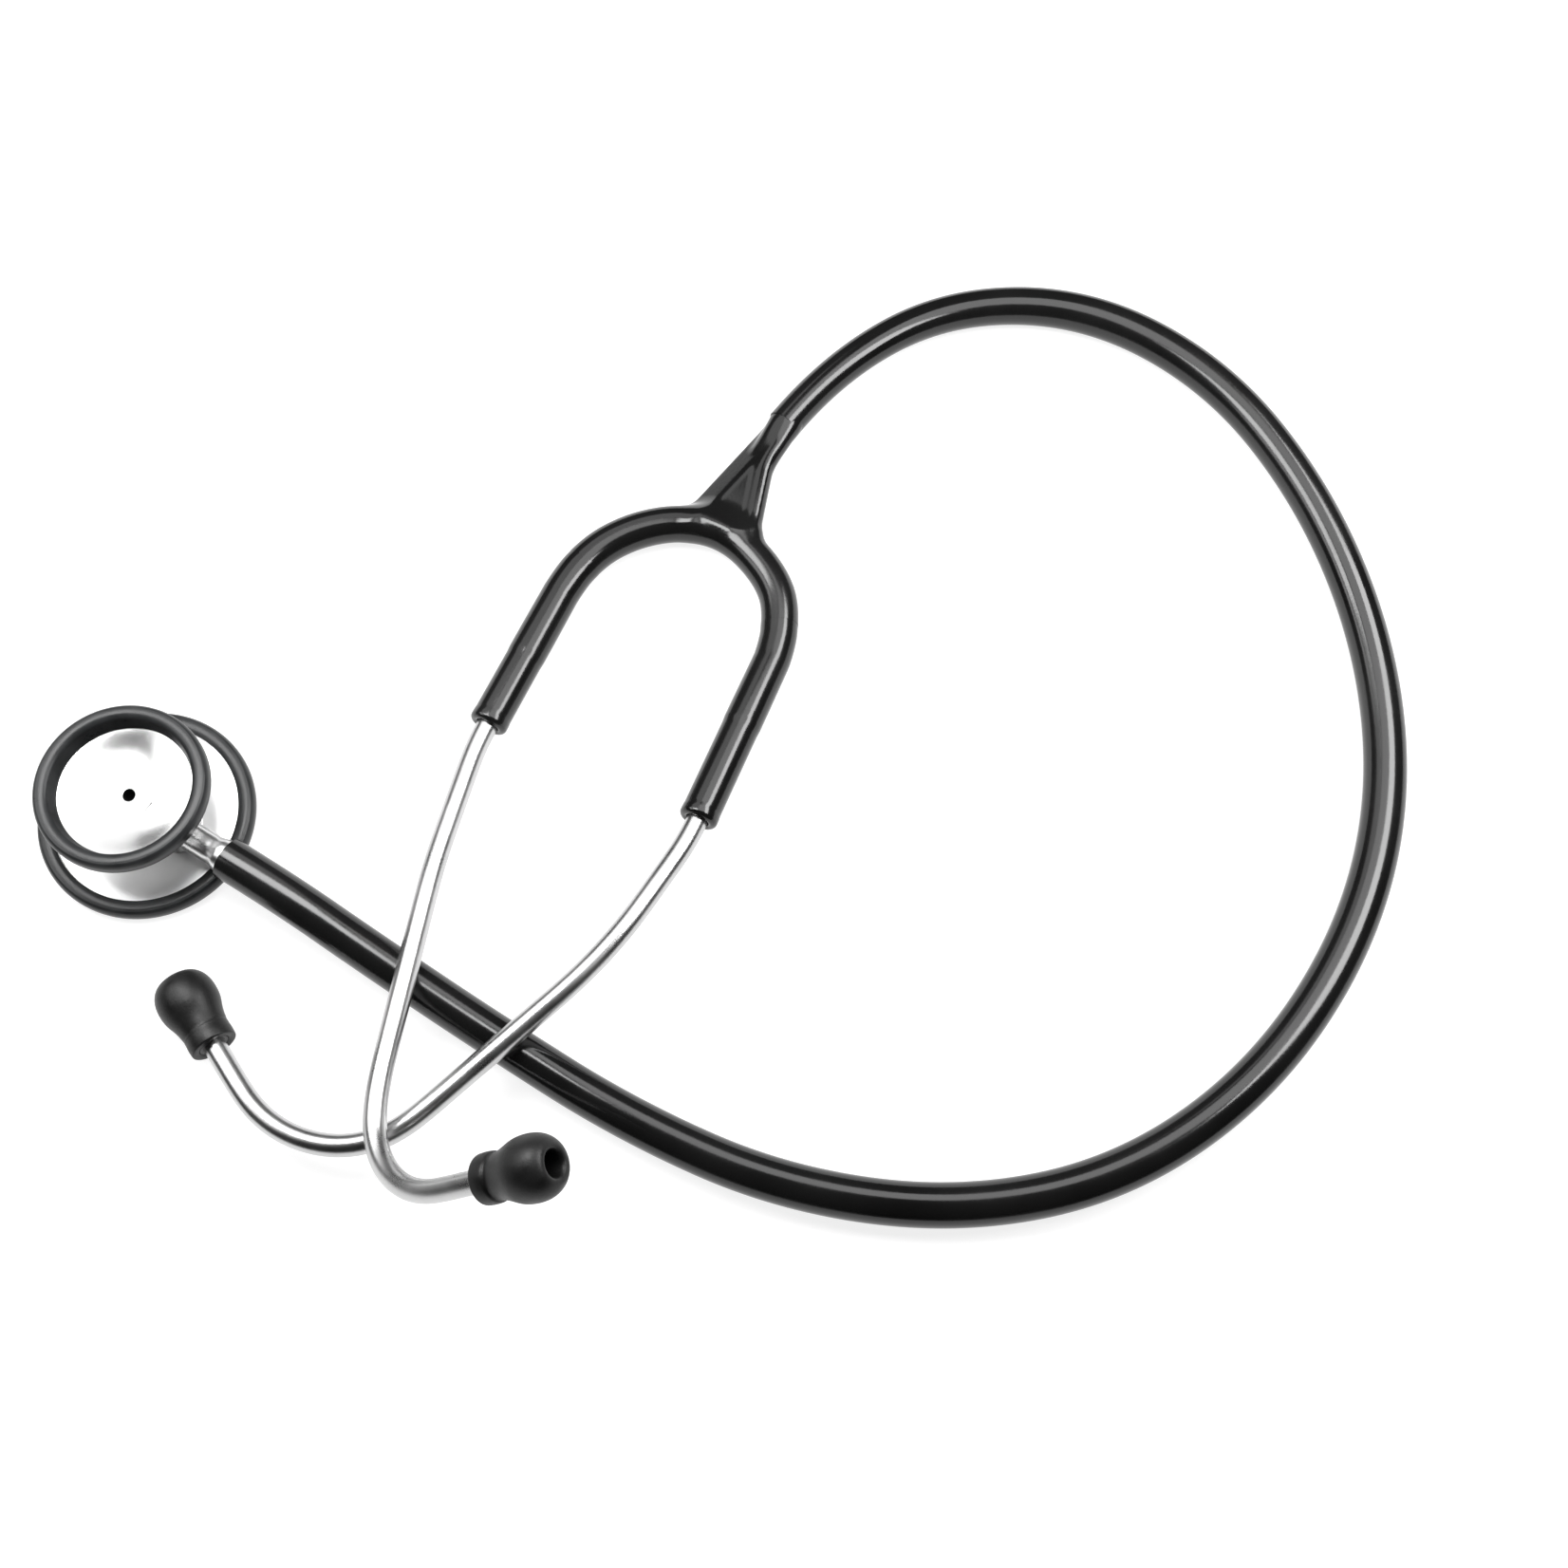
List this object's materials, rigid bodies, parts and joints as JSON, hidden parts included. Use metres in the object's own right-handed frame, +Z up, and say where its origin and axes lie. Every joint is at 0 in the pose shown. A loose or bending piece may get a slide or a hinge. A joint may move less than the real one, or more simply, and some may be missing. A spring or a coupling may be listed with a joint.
{
  "type": "acoustic stethoscope",
  "caption": "Acoustic stethoscope with a turning double head, single black tube, sprung yoke, bent metal ear tubes and soft eartips, lying in a loop.",
  "frame": {"origin": "centre of the diaphragm's flat face, which lies on the table", "axes": "+Z up from the table through the bell, +X from the head towards the tube's loop, +Y towards the yoke"},
  "size_m": [0.3055, 0.2266, 0.0517],
  "materials": {
    "polished_metal": "mirror polished",
    "ear_tube_metal": "polished",
    "plain_steel": "plain",
    "tubing": "glossy moulded",
    "ring_rubber": "satin",
    "eartip_rubber": "matt",
    "adapter_plastic": "plain",
    "diaphragm_film": "smooth"
  },
  "bodies": {
    "root": {"stem": "polished_metal", "stem_o_ring": "ring_rubber", "main_tube": "tubing", "y_junction": "tubing", "leaf_spring": "plain_steel"},
    "head": {"head_body": "polished_metal", "bell_ring": "ring_rubber", "diaphragm": "diaphragm_film", "diaphragm_ring": "ring_rubber", "detent_spring": "plain_steel", "detent_screw": "plain_steel"},
    "detent": {"detent_ball": "plain_steel"},
    "left_arm": {"left_sleeve": "tubing", "left_spring_socket": "plain_steel", "left_ear_tube": "ear_tube_metal", "left_tip_adapter": "adapter_plastic"},
    "right_arm": {"right_sleeve": "tubing", "right_spring_socket": "plain_steel", "right_ear_tube": "ear_tube_metal", "right_tip_adapter": "adapter_plastic"},
    "left_tip": {"left_eartip": "eartip_rubber"},
    "right_tip": {"right_eartip": "eartip_rubber"}
  },
  "joints": [
    {"name": "head_turn", "type": "hinge", "parent": "root", "child": "head", "pos_m": [0, 0, 0.01], "axis": [0.8572, -0.515, 0], "continuous": true},
    {"name": "detent_click", "type": "slide", "parent": "head", "child": "detent", "axis": [0, 0, -1], "range_m": [0, 0.00055], "stiffness_N_per_m": 900, "deforming": ["detent_spring"]},
    {"name": "left_arm_spread", "type": "hinge", "parent": "root", "child": "left_arm", "pos_m": [0.091, 0.0556, 0.0045], "axis": [-0.4067, 0, -0.9135], "range_deg": [0, 40], "stiffness_Nm_per_rad": 1.2},
    {"name": "right_arm_spread", "type": "hinge", "parent": "root", "child": "right_arm", "pos_m": [0.1394, 0.0386, 0.0045], "axis": [0, 0, 1], "range_deg": [0, 45], "stiffness_Nm_per_rad": 1.2},
    {"name": "left_eartip_pull", "type": "slide", "parent": "left_arm", "child": "left_tip", "axis": [0.8175, 0.0898, 0.5689], "range_m": [0, 0.009]},
    {"name": "right_eartip_pull", "type": "slide", "parent": "right_arm", "child": "right_tip", "axis": [-0.5727, 0.8182, -0.05], "range_m": [0, 0.009]}
  ]
}
